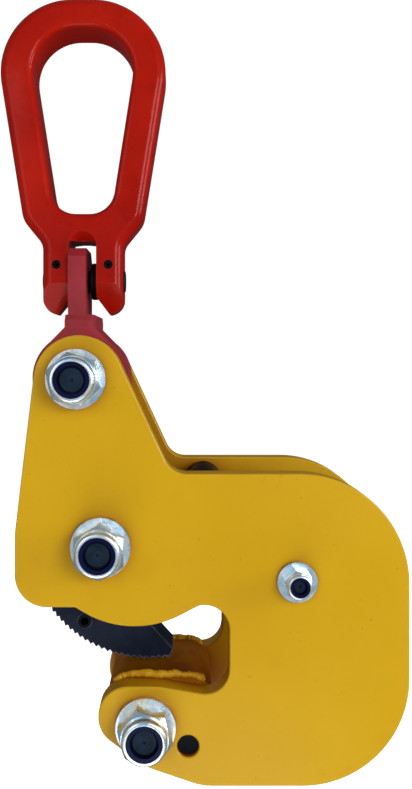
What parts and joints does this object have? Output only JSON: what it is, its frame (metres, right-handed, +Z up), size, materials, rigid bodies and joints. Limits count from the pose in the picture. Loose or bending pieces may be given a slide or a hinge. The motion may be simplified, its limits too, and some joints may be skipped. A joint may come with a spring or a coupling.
{
  "type": "plate lifting clamp",
  "caption": "Horizontal plate lifting clamp: paired side plates, spring-closed toothed eccentric cam over a fixed anvil, and a forged ring on a swivelling link above.",
  "frame": {"origin": "where a crane hook bears, inside the crown of the lifting ring, on the mid-plane", "axes": "+Z up along the ring and link, +X from the mouth of the jaw into its throat, +Y from the nut side to the bolt-head side"},
  "size_m": [0.2112, 0.108, 0.4066],
  "materials": {
    "yellow_paint": "semi-gloss enamel",
    "red_paint": "gloss enamel over a forging",
    "link_paint": "thin dull paint",
    "zinc_steel": "bright zinc plate",
    "nylon": "moulded nylon",
    "black_steel": "blackened hardened steel",
    "spring_steel": "oil-blackened wire"
  },
  "bodies": {
    "ring": {"lifting_ring": "red_paint", "load_pin": "black_steel", "load_pin_retainers": "black_steel", "load_pin_spacer": "black_steel"},
    "link": {"link_eye_plate": "link_paint", "link_hub": "link_paint", "link_bush": "zinc_steel"},
    "frame": {"front_side_plate": "yellow_paint", "back_side_plate": "yellow_paint", "anvil_block": "yellow_paint", "anvil_weld_beads": "yellow_paint", "anvil_dowel": "black_steel", "cam_stop_bar": "black_steel", "tail_spacer": "zinc_steel", "cam_pivot_bush": "zinc_steel", "cam_side_spacers": "zinc_steel", "cam_spring": "spring_steel", "link_bolt": "zinc_steel", "link_bolt_washers": "zinc_steel", "link_bolt_nut": "zinc_steel", "link_nut_insert": "nylon", "cam_bolt": "zinc_steel", "cam_bolt_washers": "zinc_steel", "cam_bolt_nut": "zinc_steel", "cam_nut_insert": "nylon", "anvil_bolt": "zinc_steel", "anvil_bolt_washers": "zinc_steel", "anvil_bolt_nut": "zinc_steel", "anvil_nut_insert": "nylon", "tail_bolt": "zinc_steel", "tail_bolt_washers": "zinc_steel", "tail_bolt_nut": "zinc_steel", "tail_nut_insert": "nylon"},
    "cam": {"gripping_cam": "black_steel", "cam_roll_pin": "zinc_steel"}
  },
  "joints": [
    {"name": "ring_swing", "type": "hinge", "parent": "ring", "child": "link", "pos_m": [0, 0, -0.1352], "axis": [1, 0, 0], "range_deg": [-90, 90]},
    {"name": "link_pivot", "type": "hinge", "parent": "link", "child": "frame", "pos_m": [0, 0, -0.1873], "axis": [0, 1, 0], "range_deg": [-60, 75]},
    {"name": "cam_pivot", "type": "hinge", "parent": "frame", "child": "cam", "pos_m": [0.0124, 0, -0.2712], "axis": [0, -1, 0], "range_deg": [0, 60], "stiffness_Nm_per_rad": 0.8, "springref_deg": -68.75}
  ]
}
